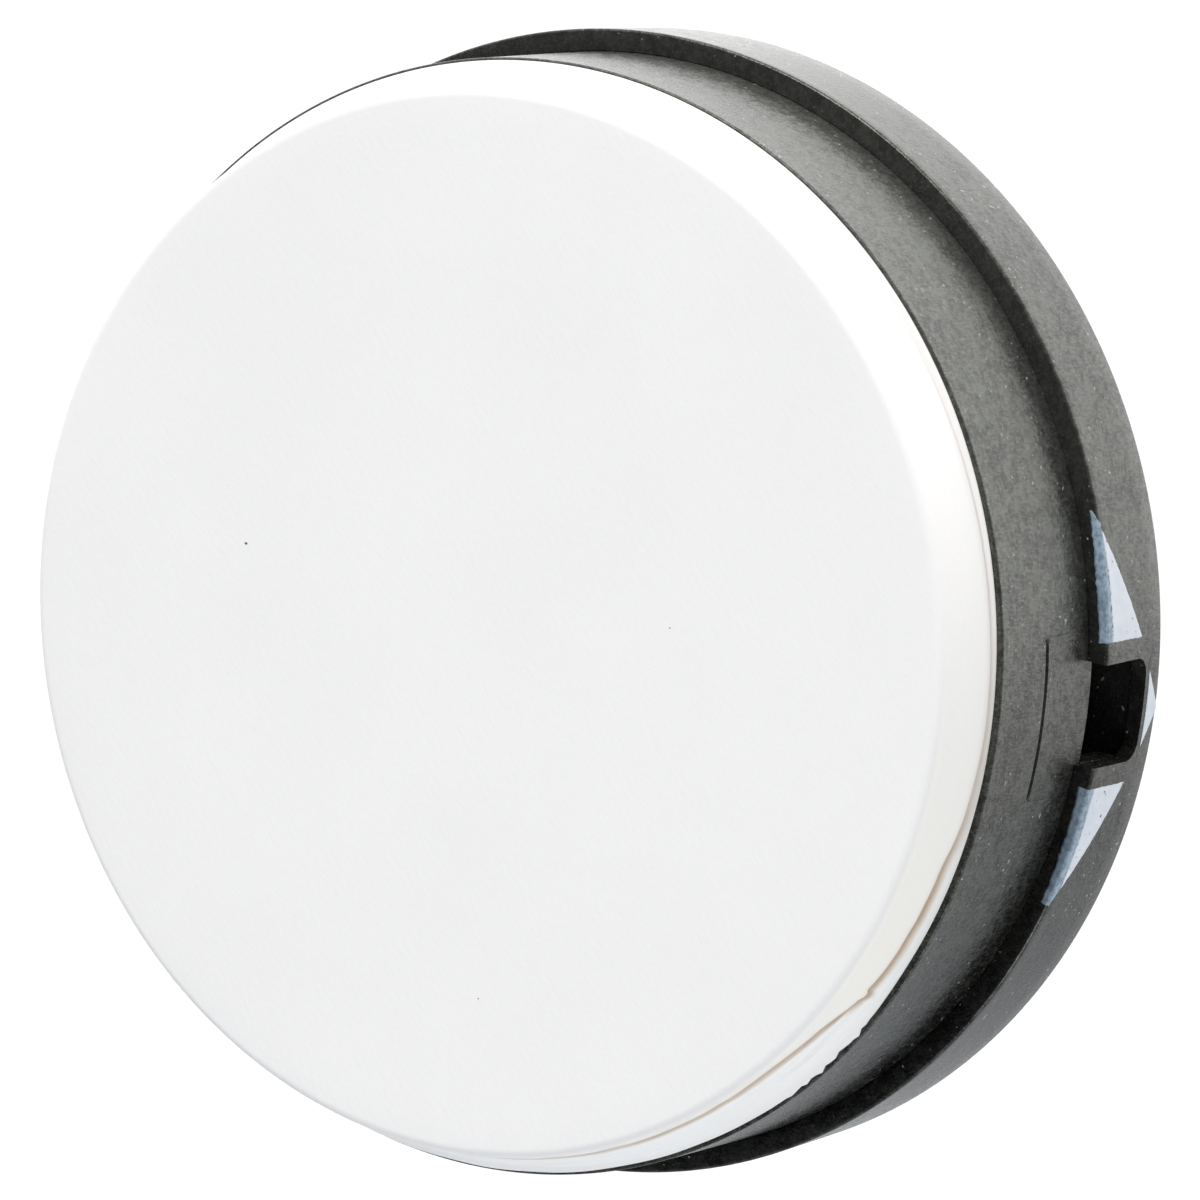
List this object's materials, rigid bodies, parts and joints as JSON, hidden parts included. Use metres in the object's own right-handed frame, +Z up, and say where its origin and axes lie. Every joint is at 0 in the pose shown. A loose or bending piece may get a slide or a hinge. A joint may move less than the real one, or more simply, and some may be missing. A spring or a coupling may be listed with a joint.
{
  "type": "pedestrian push button",
  "caption": "Round wall-mounted pedestrian push button: a large sprung white push cap in a black housing that snaps into a flanged base with a release slot.",
  "frame": {"origin": "centre of the flat rear face of the mounting base, on the wall plane", "axes": "+Y into the wall along the button's axis, so the cap faces -Y; +Z up; +X through the release slot"},
  "size_m": [0.0832, 0.0262, 0.0834],
  "materials": {
    "base_nylon": "glass-filled nylon, fine fibre grain, satin",
    "housing_nylon": "glass-filled nylon, fine fibre grain, satin",
    "cover_nylon": "moulded, satin",
    "catch_nylon": "moulded, satin",
    "cap_elastomer": "matte white with fine diagonal grain",
    "skirt_elastomer": "matte white, softer and smoother than the cap",
    "plate_plastic": "moulded, satin",
    "chassis_plastic": "moulded, satin",
    "switch_plastic": "moulded, satin",
    "acetal": "natural acetal, waxy",
    "steel": "stainless, fine turned marks",
    "spring_steel": "drawn wire",
    "ring_steel": "stainless sheet",
    "brass": "tinned brass",
    "gasket_rubber": "matte black",
    "grommet_rubber": "matte black",
    "board_laminate": "glass-epoxy board with green mask",
    "terminal_plastic": "moulded, satin"
  },
  "bodies": {
    "fixed_unit": {"mounting_base": "base_nylon", "cable_grommet": "grommet_rubber", "housing": "housing_nylon", "clamp_ring": "ring_steel", "clamp_screw_1": "steel", "clamp_screw_2": "steel", "clamp_screw_3": "steel", "skirt": "skirt_elastomer", "chassis": "chassis_plastic", "guide_bush_1": "acetal", "guide_bush_2": "acetal", "guide_bush_3": "acetal", "return_spring_1": "spring_steel", "return_spring_2": "spring_steel", "return_spring_3": "spring_steel", "circuit_board": "board_laminate", "board_screw_1": "steel", "board_screw_2": "steel", "board_screw_3": "steel", "switch_body": "switch_plastic", "feed_pin_1": "brass", "feed_pin_2": "brass", "cover_gasket": "gasket_rubber", "back_cover": "cover_nylon", "cover_screw_1": "steel", "cover_screw_2": "steel", "cover_screw_3": "steel", "cover_screw_4": "steel", "terminal_block": "terminal_plastic", "terminal_screw_1": "steel", "terminal_screw_2": "steel", "catch_spring": "spring_steel"},
    "push_cap": {"cap_cover": "cap_elastomer", "push_plate": "plate_plastic", "guide_pin_1": "steel", "guide_pin_2": "steel", "guide_pin_3": "steel", "pin_clip_1": "spring_steel", "pin_clip_2": "spring_steel", "pin_clip_3": "spring_steel"},
    "plunger": {"switch_plunger": "acetal"},
    "catch": {"release_catch": "catch_nylon"}
  },
  "joints": [
    {"name": "button_press", "type": "slide", "parent": "fixed_unit", "child": "push_cap", "axis": [0, 1, 0], "range_m": [0, 0.0015], "stiffness_N_per_m": 3300, "springref_m": -0.0009, "deforming": ["skirt", "return_spring_1", "return_spring_2", "return_spring_3"]},
    {"name": "plunger_slide", "type": "slide", "parent": "fixed_unit", "child": "plunger", "axis": [0, 1, 0], "range_m": [0, 0.0015], "stiffness_N_per_m": 50, "springref_m": -0.0005},
    {"name": "catch_slide", "type": "slide", "parent": "fixed_unit", "child": "catch", "axis": [-1, 0, 0], "range_m": [0, 0.0022], "stiffness_N_per_m": 900, "springref_m": -0.002, "deforming": ["catch_spring"]}
  ],
  "couplings": [
    {"joint": "plunger_slide", "follows": "button_press", "ratio": 1}
  ]
}
